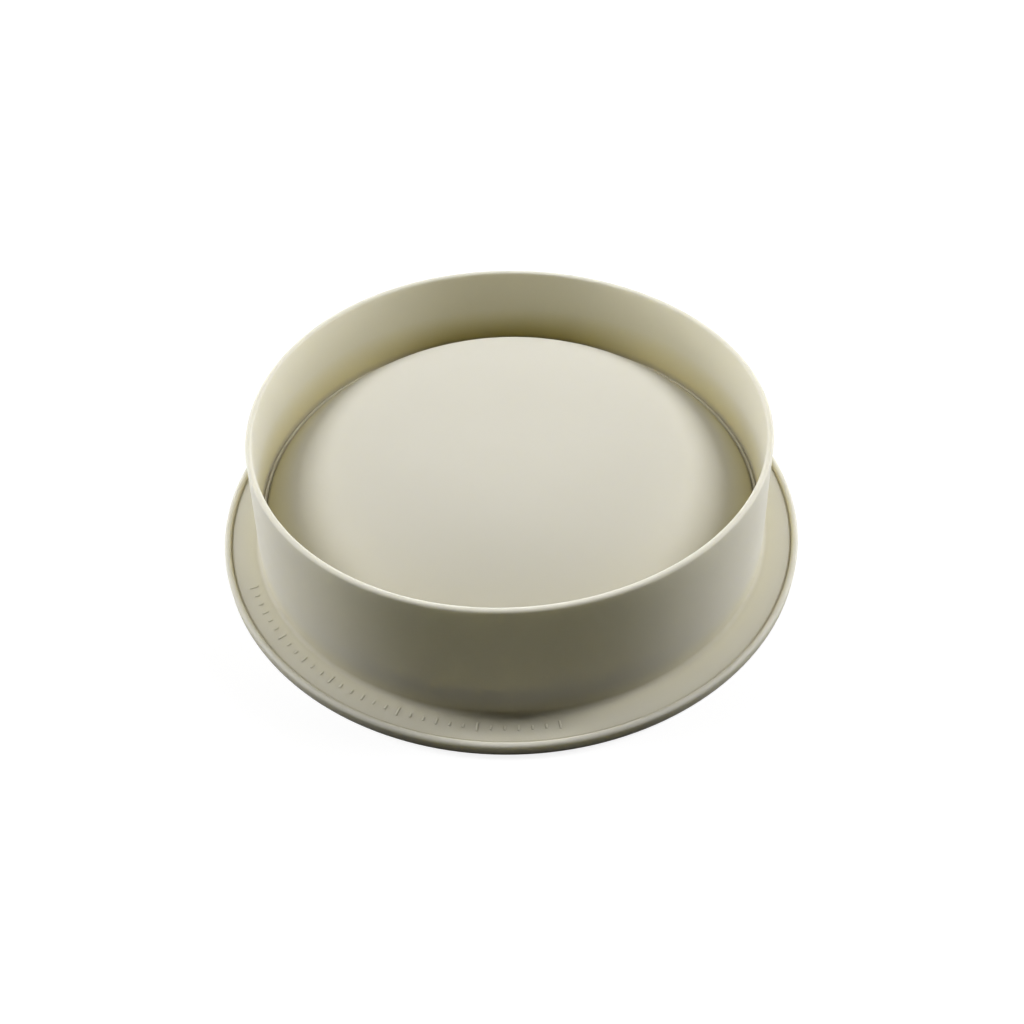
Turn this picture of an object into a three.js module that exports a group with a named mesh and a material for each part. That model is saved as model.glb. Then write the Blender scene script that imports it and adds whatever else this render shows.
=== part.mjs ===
// A round silicone cake mould, turned over: it stands on its flange, with the cavity facing down.
// Millimetres, +Z up, origin on the table in the middle of the cavity mouth.
import * as THREE from "three";

// Driving dimensions
const MOUTH_RADIUS = 90.9; // cavity mouth, where the cake is widest
const MOULD_HEIGHT = 48.5; // table to the free lip of the support skirt
const WALL_THICKNESS = 2.1; // side wall and skirt, measured level
const LIP_INSET = 4; // how far the wall leans in from its foot to the free lip
const FLANGE_WIDTH = 12; // wall foot to the outer edge of the flange
const FLANGE_THICKNESS = 3;
const BEAD_WIDTH = 2.2;
const BEAD_RISE = 1.4; // bead above the flange
const GROOVE_HEIGHT = 14.5; // table to the floor of the groove round the dome
const GROOVE_WIDTH = 2; // dome foot to the inside of the skirt
const APEX_CLEARANCE = 7.6; // lip above the top of the dome
const DOME_THICKNESS = 2.1;
const DOME_FULLNESS = 3.5; // exponent of the dome's curve: 2 is a plain parabola, more is flatter on top
const CROWN_RADIUS = 52; // the part of the dome that is pushed in to release the cake
const CROWN_CLEARANCE = 0.3;
const FOOT_FILLET = 1.6; // wall into flange
const CORNER_FILLET = 1.5; // cavity wall into the dome
const LIP_ROUND = 0.5;
const BEAD_ROUND = 1;

// How finely round forms are divided
const AROUND = 72;
const ARC_STEPS = 4;
const SHOULDER_STEPS = 9;
const CROWN_STEPS = 8;

// Worked-out sizes
const FOOT_RADIUS = MOUTH_RADIUS + WALL_THICKNESS;
const FLANGE_RADIUS = FOOT_RADIUS + FLANGE_WIDTH;
const BEAD_INNER_RADIUS = FLANGE_RADIUS - BEAD_WIDTH;
const DOME_APEX = MOULD_HEIGHT - APEX_CLEARANCE;
const DOME_RISE = DOME_APEX - GROOVE_HEIGHT;
const DOME_RADIUS = innerRadius(GROOVE_HEIGHT) - GROOVE_WIDTH;
const GROOVE_UNDERSIDE = domeUnderside(DOME_RADIUS) - CORNER_FILLET;

// The wall is a cone: its radius outside and inside at a height above the table
function outerRadius(height) {
  return FOOT_RADIUS - (LIP_INSET * height) / MOULD_HEIGHT;
}

function innerRadius(height) {
  return outerRadius(height) - WALL_THICKNESS;
}

// The dome's top, its steepness and its underside at a radius
function domeTop(radius) {
  return DOME_APEX - DOME_RISE * (radius / DOME_RADIUS) ** DOME_FULLNESS;
}

function domeSlope(radius) {
  return ((DOME_FULLNESS * DOME_RISE) / DOME_RADIUS) * (radius / DOME_RADIUS) ** (DOME_FULLNESS - 1);
}

function domeUnderside(radius) {
  return domeTop(radius) - DOME_THICKNESS * Math.hypot(1, domeSlope(radius));
}

const point = (radius, height) => new THREE.Vector2(radius, height);

// A quarter arc about a centre, from one angle in degrees to another
function arc(radius, height, acrossRadius, upRadius, from, to) {
  return Array.from({ length: ARC_STEPS + 1 }, (_, step) => {
    const angle = THREE.MathUtils.degToRad(from + ((to - from) * step) / ARC_STEPS);
    return point(radius + acrossRadius * Math.cos(angle), height + upRadius * Math.sin(angle));
  });
}

// Points of a curve over the radius, from one radius to another
function sweep(curve, from, to, steps) {
  return Array.from({ length: steps + 1 }, (_, step) => {
    const radius = from + ((to - from) * step) / steps;
    return point(radius, curve(radius));
  });
}

// Turns a profile, listed counter-clockwise with the radius to the right, about the upright axis
function turned(name, profile) {
  const geometry = new THREE.LatheGeometry(profile, AROUND).rotateX(Math.PI / 2);
  const silicone = new THREE.MeshStandardMaterial({ color: 0xd3cebb, roughness: 0.55, metalness: 0 });
  const mesh = new THREE.Mesh(geometry, silicone);
  mesh.name = name;
  return mesh;
}

const closed = (profile) => [...profile, profile[0].clone()];

// Raised bead at the edge of the flange, with a rounded top
function rimBead() {
  const top = FLANGE_THICKNESS + BEAD_RISE;
  const round = Math.min(BEAD_ROUND, BEAD_RISE, BEAD_WIDTH / 2);
  return turned("rim_bead", closed([
    point(BEAD_INNER_RADIUS, 0),
    point(FLANGE_RADIUS, 0),
    ...arc(FLANGE_RADIUS - round, top - round, round, round, 0, 90),
    ...arc(BEAD_INNER_RADIUS + round, top - round, round, round, 90, 180),
    point(BEAD_INNER_RADIUS, FLANGE_THICKNESS),
  ]));
}

// Flat ring round the cavity mouth
function flange() {
  return turned("flange", closed([
    point(innerRadius(0), 0),
    point(BEAD_INNER_RADIUS, 0),
    point(BEAD_INNER_RADIUS, FLANGE_THICKNESS),
    point(innerRadius(FLANGE_THICKNESS), FLANGE_THICKNESS),
  ]));
}

// Conical side of the cake, filleted into the flange
function cavityWall() {
  const filletTop = FLANGE_THICKNESS + FOOT_FILLET;
  return turned("cavity_wall", closed([
    point(innerRadius(FLANGE_THICKNESS), FLANGE_THICKNESS),
    ...arc(outerRadius(filletTop) + FOOT_FILLET, filletTop, FOOT_FILLET, FOOT_FILLET, 270, 180),
    point(outerRadius(GROOVE_UNDERSIDE), GROOVE_UNDERSIDE),
    point(innerRadius(GROOVE_UNDERSIDE), GROOVE_UNDERSIDE),
  ]));
}

// Ring where the wall, the dome and the skirt meet, with the groove on top and a fillet in the cavity
function grooveFloor() {
  const filletWidth = innerRadius(GROOVE_UNDERSIDE) - DOME_RADIUS;
  return turned("groove_floor", closed([
    point(outerRadius(GROOVE_UNDERSIDE), GROOVE_UNDERSIDE),
    point(outerRadius(GROOVE_HEIGHT), GROOVE_HEIGHT),
    point(innerRadius(GROOVE_HEIGHT), GROOVE_HEIGHT),
    point(DOME_RADIUS, GROOVE_HEIGHT),
    ...arc(DOME_RADIUS, GROOVE_UNDERSIDE, filletWidth, CORNER_FILLET, 90, 0),
  ]));
}

// Cone above the groove, whose free lip the mould stands on while it is filled
function supportSkirt() {
  const round = Math.min(LIP_ROUND, WALL_THICKNESS / 3);
  const shoulder = MOULD_HEIGHT - round;
  return turned("support_skirt", closed([
    point(innerRadius(GROOVE_HEIGHT), GROOVE_HEIGHT),
    point(outerRadius(GROOVE_HEIGHT), GROOVE_HEIGHT),
    ...arc(outerRadius(shoulder) - round, shoulder, round, round, 0, 90),
    ...arc(innerRadius(shoulder) + round, shoulder, round, round, 90, 180),
  ]));
}

// Outer part of the dome, which bends
function domeShoulder() {
  const edge = CROWN_RADIUS + CROWN_CLEARANCE;
  return turned("dome_shoulder", closed([
    ...sweep(domeUnderside, edge, DOME_RADIUS, SHOULDER_STEPS),
    ...sweep(domeTop, DOME_RADIUS, edge, SHOULDER_STEPS),
  ]));
}

// Middle of the dome, which travels straight down when it is pushed
function domeCrown() {
  return turned("dome_crown", [
    ...sweep(domeUnderside, 0, CROWN_RADIUS, CROWN_STEPS),
    ...sweep(domeTop, CROWN_RADIUS, 0, CROWN_STEPS),
  ]);
}

const mould = new THREE.Group();
mould.add(rimBead(), flange(), cavityWall(), grooveFloor(), supportSkirt(), domeShoulder(), domeCrown());

export default mould;
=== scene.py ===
# Looks of a round silicone cake mould, turned over: it stands on its flange, with the dome up
import math

import bmesh
import bpy
from mathutils import Euler, Matrix, Vector


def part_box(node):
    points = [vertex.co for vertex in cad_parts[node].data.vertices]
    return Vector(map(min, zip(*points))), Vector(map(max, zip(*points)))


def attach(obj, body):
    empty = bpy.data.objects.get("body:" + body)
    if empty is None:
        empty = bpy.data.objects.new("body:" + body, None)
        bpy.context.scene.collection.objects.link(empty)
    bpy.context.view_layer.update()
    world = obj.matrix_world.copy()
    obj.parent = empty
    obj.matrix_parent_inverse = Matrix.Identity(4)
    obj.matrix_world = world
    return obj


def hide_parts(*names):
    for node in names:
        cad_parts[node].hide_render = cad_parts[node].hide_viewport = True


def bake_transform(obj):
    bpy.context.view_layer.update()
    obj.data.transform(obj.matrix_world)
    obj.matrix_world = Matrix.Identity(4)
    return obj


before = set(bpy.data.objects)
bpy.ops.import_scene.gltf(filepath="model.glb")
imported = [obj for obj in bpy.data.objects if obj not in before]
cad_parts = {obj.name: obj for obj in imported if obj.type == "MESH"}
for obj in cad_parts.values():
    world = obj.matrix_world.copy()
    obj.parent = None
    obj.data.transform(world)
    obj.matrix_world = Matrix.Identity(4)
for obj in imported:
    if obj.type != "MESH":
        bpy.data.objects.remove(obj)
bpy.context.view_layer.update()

# Sizes that the solids give, in metres
bead_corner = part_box("rim_bead")[1]
flange_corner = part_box("flange")[1]
groove_low, groove_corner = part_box("groove_floor")
skirt_low, skirt_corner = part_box("support_skirt")
shoulder_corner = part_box("dome_shoulder")[1]
crown_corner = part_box("dome_crown")[1]
FLANGE_RADIUS = bead_corner.x
BEAD_HEIGHT = bead_corner.z
BEAD_INNER_RADIUS = flange_corner.x
FLANGE_HEIGHT = flange_corner.z
GROOVE_HEIGHT = skirt_low.z
SKIRT_RADIUS = skirt_corner.x
LIP_HEIGHT = skirt_corner.z
DOME_RADIUS = shoulder_corner.x
DOME_HEIGHT = crown_corner.z
WALL_LEAN = (groove_corner.x - SKIRT_RADIUS) / (GROOVE_HEIGHT - groove_low.z)

# Sizes that the solids' boxes do not give, in metres
WALL_THICKNESS = 0.0021
DOME_THICKNESS = 0.0021
MOUTH_ROUND = 0.0005  # edge of the cavity mouth
RIM_EDGE_ROUND = 0.0004  # lower edge of the flange
BEAD_ROUND = 0.001
GUTTER_WIDTH = 0.0008  # shallow gutter beside the bead
GUTTER_DEPTH = 0.0004
GUTTER_FILLET = 0.0002
FOOT_FILLET = 0.0016  # wall into flange
LIP_ROUND = 0.0008
GROOVE_FILLET = 0.00012
GROOVE_RIDGE_INSET = 0.0007  # thin ridge between two notches in the groove
GROOVE_RIDGE_WIDTH = 0.0004
OUTER_NOTCH_DEPTH = 0.0009
INNER_NOTCH_DEPTH = 0.0017
CORNER_FILLET = 0.003  # cavity wall into the dome

# Exponent of the dome's curve: 2 is a plain parabola, more is flatter on top
DOME_FULLNESS = 3.5

# How soft silicone settles: the lip sways sideways, the flange's edge lifts off the table
LIP_SWAY = 0.0005
SWAY_WAVES = ((1, 3), (-0.4, 1))  # share of the sway, waves round the lip
FLANGE_LIFT = 0.00012
LIFT_WAVES = ((0.6, 2, 2.3), (0.4, 5, 0))  # share of the lift, waves round the flange, turn in radians

# How finely the meshes are divided
AROUND = 192
RUN_STEP = 0.0022
ARC_STEPS = 6
SHARP_ANGLE = math.radians(38)

# Raised marks on the flange
MARK_RADIUS = 0.0974
MARK_LENGTHS = (0.0030, 0.0016, 0.0016, 0.0022, 0.0016, 0.0016)
MARK_WIDTH = 0.0008
MARK_RISE = 0.00014
MARK_SINK = 0.0004
MARK_BEVEL = 0.0002
MARK_BEVEL_STEPS = 2
MARK_ARC = (math.radians(203), math.radians(278))
MARK_PITCH = math.radians(2.5)

# Colours of the silicone: two shades of its pigment, then painted shade: a warm one in wide corners, a dark
# one in creases
DARK_PIGMENT = (0.700, 0.677, 0.583)
LIGHT_PIGMENT = (0.730, 0.707, 0.613)
CORNER_SHADE_COLOUR = (0.64, 0.59, 0.36)
CORNER_SHADE_REACH = 0.012
CREASE_SHADE_COLOUR = (0.46, 0.43, 0.35)
CREASE_SHADE_REACH = 0.003
SHADE_OPENNESS_SAMPLES = 8

# Surface of the silicone: patterns as (scale per metre, levels of detail) and what they vary
CLOUDS = (26, 3)
SMUDGES = (140, 3)
GRAIN = (1900, 2)
PATTERN_RANGE = (0.3, 0.7)
ROUGHNESS_RANGE = (0.50, 0.62)
GRAIN_STRENGTH = 0.25
GRAIN_HEIGHT = 0.00006

# How the silicone reflects light, and how deep light goes into it, in metres
REFRACTION = 1.41
GLOSS = 0.18
DEPTH_BY_COLOUR = (1, 1, 0.9)
WALL_LIGHT_DEPTH = 0.0034
DOME_LIGHT_DEPTH = 0.0015
MARK_LIGHT_DEPTH = 0

# Floor and surroundings: the glow that is seen on the floor grows to white between two distances
WHITE = (1, 1, 1, 1)
FLOOR_COLOUR = (0.24, 0.24, 0.24, 1)
FLOOR_ROUGHNESS = 0.9
FLOOR_REACH = 4
GLOW_DISTANCES = (0.15, 0.45)
GLOW_RANGE = (0.85, 1)

# Soft boxes on each side: place on the right, size, and watts on the left and on the right
SIDE_BOXES = {
    "overhead": ((0.67, 0.215, 0.72), (0.3, 0.55), (6.1, 6.8)),
    "low": ((0.94, 0.34, 0.09), (0.3, 0.25), (3.8, 3.8)),
    "middle": ((0.94, 0.15, 0.34), (0.3, 0.25), (0.8, 0.8)),
}

# Soft box behind: place, size and watts
BACK_BOX = ((0, 0.94, 0.045), (0.6, 0.08), 2.5)

# The photograph's viewpoint, with the lens and its sensor in millimetres
EYE_DISTANCE = 0.3748
EYE_ELEVATION = math.radians(44.92)
EYE_ROLL = math.radians(-1.31)
AIM = Vector((0.0005, -0.0006, -0.0006))
LENS_LENGTH = 35
SENSOR_WIDTH = 36
NEAREST_SEEN = 0.01


# The wall is a cone: its radius outside and inside at a height
def outer_radius(height):
    return SKIRT_RADIUS + WALL_LEAN * (GROOVE_HEIGHT - height)


def inner_radius(height):
    return outer_radius(height) - WALL_THICKNESS


# The dome's top, its fall and its underside at a radius
def dome_top(radius):
    return DOME_HEIGHT - (DOME_HEIGHT - GROOVE_HEIGHT) * (radius / DOME_RADIUS) ** DOME_FULLNESS


def dome_fall(radius):
    rise = DOME_HEIGHT - GROOVE_HEIGHT
    return DOME_FULLNESS * rise / DOME_RADIUS * (radius / DOME_RADIUS) ** (DOME_FULLNESS - 1)


def dome_underside(radius):
    return dome_top(radius) - DOME_THICKNESS * math.hypot(1, dome_fall(radius))


# A point at a radius, a height and an angle round the mould
def around(radius, height, angle):
    return Vector((radius * math.cos(angle), radius * math.sin(angle), height))


# The same point where it lies on the soft mould
def settled(radius, height, angle):
    up_skirt = max(0, (height - GROOVE_HEIGHT) / (LIP_HEIGHT - GROOVE_HEIGHT))
    out_flange = max(0, (radius - outer_radius(0)) / (FLANGE_RADIUS - outer_radius(0)))
    sway = sum(share * math.cos(waves * angle) for share, waves in SWAY_WAVES)
    lift = 1 + sum(share * math.sin(waves * angle + turn) for share, waves, turn in LIFT_WAVES)
    swayed = radius + LIP_SWAY * up_skirt**2 * sway
    lifted = height + FLANGE_LIFT * out_flange**2 * lift
    return around(swayed, lifted, angle)


# Points of a closed outline whose corners (radius, height, rounding) are rounded by arcs
def rounded(corners):
    places = [Vector((radius, 0, height)) for radius, height, _ in corners]
    points = []
    for index, here in enumerate(places):
        rounding = corners[index][2]
        if not rounding:
            points.append(here)
            continue
        back = (places[index - 1] - here).normalized()
        on = (places[(index + 1) % len(places)] - here).normalized()
        half = back.angle(on) / 2
        centre = here + (back + on).normalized() * rounding / math.sin(half)
        first = (here + back * rounding / math.tan(half) - centre).normalized()
        last = (here + on * rounding / math.tan(half) - centre).normalized()
        points += [centre + rounding * first.slerp(last, step / ARC_STEPS) for step in range(ARC_STEPS + 1)]
    return points


# What follows each item of an outline
def followers(items, closed):
    return items[1:] + items[:1] if closed else items[1:]


# The points of an outline with long runs divided
def divided(points, closed):
    result = []
    for start, end in zip(points, followers(points, closed)):
        steps = math.ceil((end - start).length / RUN_STEP)
        result += [start.lerp(end, step / steps) for step in range(steps)]
    return result if closed else result + points[-1:]


# Turns an outline, listed counter-clockwise with the radius to the right, about the upright axis
def turned(points, closed, place):
    form = bmesh.new()
    rings = []
    for point in divided(points, closed):
        count = AROUND if point.x > 0 else 1
        angles = [math.tau * step / AROUND for step in range(count)]
        rings.append([form.verts.new(place(point.x, point.z, angle)) for angle in angles])
    for ring, above in zip(rings, followers(rings, closed)):
        for step in range(AROUND):
            near = [ring[step % len(ring)], ring[(step + 1) % len(ring)]]
            far = [above[(step + 1) % len(above)], above[step % len(above)]]
            form.faces.new(dict.fromkeys(near + far))
    return form


# A new object in the scene, from its data
def placed(name, data):
    thing = bpy.data.objects.new(name, data)
    bpy.context.scene.collection.objects.link(thing)
    return thing


# A new mesh object from a finished bmesh
def meshed(name, form, material):
    mesh = bpy.data.meshes.new(name)
    form.to_mesh(mesh)
    form.free()
    mesh.materials.append(material)
    return placed(name, mesh)


# A piece of the mould, smooth but for its sharp edges
def piece(name, form, material):
    for face in form.faces:
        face.smooth = True
    for edge in form.edges:
        edge.smooth = edge.calc_face_angle(0) < SHARP_ANGLE
    made = meshed(name, form, material)
    return made


# Bead, flange, wall, groove and skirt as one unbroken moulding
def mould_shell(material):
    root = dome_underside(DOME_RADIUS)
    fall = dome_fall(DOME_RADIUS)
    corner_drop = fall * (inner_radius(root) - DOME_RADIUS) / (1 - fall * WALL_LEAN)
    corner = root - corner_drop
    outer_notch = GROOVE_HEIGHT - OUTER_NOTCH_DEPTH
    ridge = inner_radius(GROOVE_HEIGHT) - GROOVE_RIDGE_INSET
    outline = rounded([
        (inner_radius(0), 0, MOUTH_ROUND),
        (FLANGE_RADIUS, 0, RIM_EDGE_ROUND),
        (FLANGE_RADIUS, BEAD_HEIGHT, BEAD_ROUND),
        (BEAD_INNER_RADIUS, BEAD_HEIGHT, BEAD_ROUND),
        (BEAD_INNER_RADIUS, FLANGE_HEIGHT - GUTTER_DEPTH, GUTTER_FILLET),
        (BEAD_INNER_RADIUS - GUTTER_WIDTH, FLANGE_HEIGHT, GUTTER_FILLET),
        (outer_radius(FLANGE_HEIGHT), FLANGE_HEIGHT, FOOT_FILLET),
        (outer_radius(LIP_HEIGHT), LIP_HEIGHT, LIP_ROUND),
        (inner_radius(LIP_HEIGHT), LIP_HEIGHT, LIP_ROUND),
        (inner_radius(outer_notch), outer_notch, GROOVE_FILLET),
        (ridge, GROOVE_HEIGHT, GROOVE_FILLET),
        (ridge - GROOVE_RIDGE_WIDTH, GROOVE_HEIGHT, GROOVE_FILLET),
        (DOME_RADIUS, GROOVE_HEIGHT - INNER_NOTCH_DEPTH, 0),
        (DOME_RADIUS, root, 0),
        (inner_radius(corner), corner, CORNER_FILLET),
    ])
    shell = piece("mould_shell", turned(outline, closed=True, place=settled), material)
    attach(shell, "shell")
    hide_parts("rim_bead", "flange", "cavity_wall", "groove_floor", "support_skirt")


# The dome, from its foot up to its crown
def dome_skin(material):
    steps = math.ceil(DOME_RADIUS / RUN_STEP)
    radii = [DOME_RADIUS * step / steps for step in range(steps + 1)]
    below = [Vector((radius, 0, dome_underside(radius))) for radius in radii]
    above = [Vector((radius, 0, dome_top(radius))) for radius in reversed(radii)]
    skin = piece("dome_skin", turned(below + above, closed=False, place=around), material)
    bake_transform(skin)
    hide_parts("dome_shoulder", "dome_crown")


# A row of plain raised bars on the flange
def flange_marks(material):
    form = bmesh.new()
    height = MARK_RISE + MARK_SINK
    count = round((MARK_ARC[1] - MARK_ARC[0]) / MARK_PITCH)
    for step in range(count + 1):
        length = MARK_LENGTHS[step % len(MARK_LENGTHS)]
        turn = Matrix.Rotation(MARK_ARC[0] + step * MARK_PITCH, 4, "Z")
        shift = Matrix.Translation((MARK_RADIUS, 0, FLANGE_HEIGHT - MARK_SINK + height / 2))
        size = Matrix.Diagonal((length, MARK_WIDTH, height, 1))
        bmesh.ops.create_cube(form, size=1, matrix=turn @ shift @ size)
    edges = form.edges[:]
    bmesh.ops.bevel(
        form, geom=edges, offset=MARK_BEVEL, segments=MARK_BEVEL_STEPS, profile=0.5, affect="EDGES"
    )
    for vert in form.verts:
        vert.co = settled(vert.co.xy.length, vert.co.z, math.atan2(vert.co.y, vert.co.x))
    marks = piece("flange_marks", form, material)
    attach(marks, "shell")


# A value of a node tree, moved from one range to another
def ranged(tree, value, source, target):
    node = tree.nodes.new("ShaderNodeMapRange")
    for socket, end in zip(("From Min", "From Max", "To Min", "To Max"), (*source, *target)):
        node.inputs[socket].default_value = end
    tree.links.new(value, node.inputs["Value"])
    return node.outputs["Result"]


# Matt greige silicone: cloudy pigment, a fine grain, and painted shade: a warm tint in wide corners and a
# dark one in creases
def silicone(name, light_depth):
    material = bpy.data.materials.new(name)
    material.use_nodes = True
    tree = material.node_tree
    nodes = tree.nodes
    links = tree.links
    shader = nodes["Principled BSDF"]
    place = nodes.new("ShaderNodeTexCoord").outputs["Object"]

    def pattern(scale, detail):
        texture = nodes.new("ShaderNodeTexNoise")
        texture.inputs["Scale"].default_value = scale
        texture.inputs["Detail"].default_value = detail
        links.new(place, texture.inputs["Vector"])
        return texture.outputs["Fac"]

    def mixed(factor, first, second):
        mix = nodes.new("ShaderNodeMix")
        mix.data_type = "RGBA"
        links.new(factor, mix.inputs["Factor"])
        for socket, colour in ((mix.inputs["A"], first), (mix.inputs["B"], second)):
            if isinstance(colour, tuple):
                socket.default_value = (*colour, 1)
            else:
                links.new(colour, socket)
        return mix.outputs["Result"]

    # How open the surface is within a reach, which masks the painted shade
    def painted_shade_openness(reach):
        corner = nodes.new("ShaderNodeAmbientOcclusion")
        corner.samples = SHADE_OPENNESS_SAMPLES
        corner.inputs["Distance"].default_value = reach
        return corner.outputs["AO"]

    pigment = mixed(pattern(*CLOUDS), DARK_PIGMENT, LIGHT_PIGMENT)
    # Painted warm shade in wide corners, where little light reaches
    corner_shaded = mixed(painted_shade_openness(CORNER_SHADE_REACH), CORNER_SHADE_COLOUR, pigment)
    # Painted dark shade in narrow creases
    links.new(mixed(painted_shade_openness(CREASE_SHADE_REACH), CREASE_SHADE_COLOUR, corner_shaded), shader.inputs["Base Color"])
    roughness = ranged(tree, pattern(*SMUDGES), PATTERN_RANGE, ROUGHNESS_RANGE)
    links.new(roughness, shader.inputs["Roughness"])
    bump = nodes.new("ShaderNodeBump")
    bump.inputs["Strength"].default_value = GRAIN_STRENGTH
    bump.inputs["Distance"].default_value = GRAIN_HEIGHT
    links.new(pattern(*GRAIN), bump.inputs["Height"])
    links.new(bump.outputs["Normal"], shader.inputs["Normal"])
    shader.inputs["IOR"].default_value = REFRACTION
    shader.inputs["Specular IOR Level"].default_value = GLOSS
    shader.inputs["Subsurface Weight"].default_value = 1
    shader.inputs["Subsurface Radius"].default_value = DEPTH_BY_COLOUR
    shader.inputs["Subsurface Scale"].default_value = light_depth
    return material


# 1 for rays that see the background, from the camera or by reflection, and 0 for rays that light things
def seen_ray(tree):
    path = tree.nodes.new("ShaderNodeLightPath")
    seen = path.outputs["Is Camera Ray"]
    for kind in ("Is Glossy Ray", "Is Transmission Ray"):
        either = tree.nodes.new("ShaderNodeMath")
        either.operation = "MAXIMUM"
        tree.links.new(seen, either.inputs[0])
        tree.links.new(path.outputs[kind], either.inputs[1])
        seen = either.outputs[0]
    return seen


# White paper that keeps the mould's shadow and fades into the white surroundings further off
def paper():
    material = bpy.data.materials.new("floor_paper")
    material.use_nodes = True
    tree = material.node_tree
    shader = tree.nodes["Principled BSDF"]
    shader.inputs["Base Color"].default_value = FLOOR_COLOUR
    shader.inputs["Roughness"].default_value = FLOOR_ROUGHNESS
    shader.inputs["Specular IOR Level"].default_value = 0
    shader.inputs["Emission Color"].default_value = WHITE
    distance = tree.nodes.new("ShaderNodeVectorMath")
    distance.operation = "LENGTH"
    tree.links.new(tree.nodes.new("ShaderNodeTexCoord").outputs["Object"], distance.inputs[0])
    glow = tree.nodes.new("ShaderNodeMath")
    glow.operation = "MULTIPLY"
    tree.links.new(seen_ray(tree), glow.inputs[0])
    tree.links.new(ranged(tree, distance.outputs["Value"], GLOW_DISTANCES, GLOW_RANGE), glow.inputs[1])
    tree.links.new(glow.outputs[0], shader.inputs["Emission Strength"])
    return material


# Flat floor that the mould stands on
def floor():
    form = bmesh.new()
    bmesh.ops.create_grid(form, x_segments=1, y_segments=1, size=FLOOR_REACH)
    ground = meshed("floor", form, paper())


# White surroundings that are seen but do not light the mould
def surroundings():
    world = bpy.data.worlds.new("surroundings")
    world.use_nodes = True
    sky = world.node_tree.nodes["Background"]
    sky.inputs["Color"].default_value = WHITE
    world.node_tree.links.new(seen_ray(world.node_tree), sky.inputs["Strength"])
    bpy.context.scene.world = world


# A soft box lamp that faces the mould
def lamp(name, place, size, watts):
    light = bpy.data.lights.new(name, "AREA")
    light.shape = "RECTANGLE"
    light.size, light.size_y = size
    light.energy = watts
    box = placed(name, light)
    box.location = place
    box.rotation_euler = Vector(place).to_track_quat("Z", "Y").to_euler()
    box.visible_camera = False


# On each side a wide box overhead, one near the floor and a weak one above that, and one low box behind
def lamps():
    for index, (side, sign) in enumerate((("left", -1), ("right", 1))):
        for name, ((across, back, up), size, watts) in SIDE_BOXES.items():
            lamp(f"{name}_{side}", (sign * across, back, up), size, watts[index])
    lamp("low_back", *BACK_BOX)


# The camera at the photograph's viewpoint
def camera():
    lens = bpy.data.cameras.new("camera")
    lens.lens = LENS_LENGTH
    lens.sensor_width = SENSOR_WIDTH
    lens.clip_start = NEAREST_SEEN
    eye = placed("camera", lens)
    eye.location = EYE_DISTANCE * Vector((0, -math.cos(EYE_ELEVATION), math.sin(EYE_ELEVATION)))
    facing = (AIM - eye.location).to_track_quat("-Z", "Y")
    eye.rotation_euler = (facing @ Euler((0, 0, EYE_ROLL)).to_quaternion()).to_euler()
    bpy.context.scene.camera = eye


camera()
surroundings()
floor()
lamps()
mould_shell(silicone("wall_silicone", WALL_LIGHT_DEPTH))
dome_skin(silicone("dome_silicone", DOME_LIGHT_DEPTH))
flange_marks(silicone("raised_silicone", MARK_LIGHT_DEPTH))
bpy.context.scene.view_settings.view_transform = "Standard"
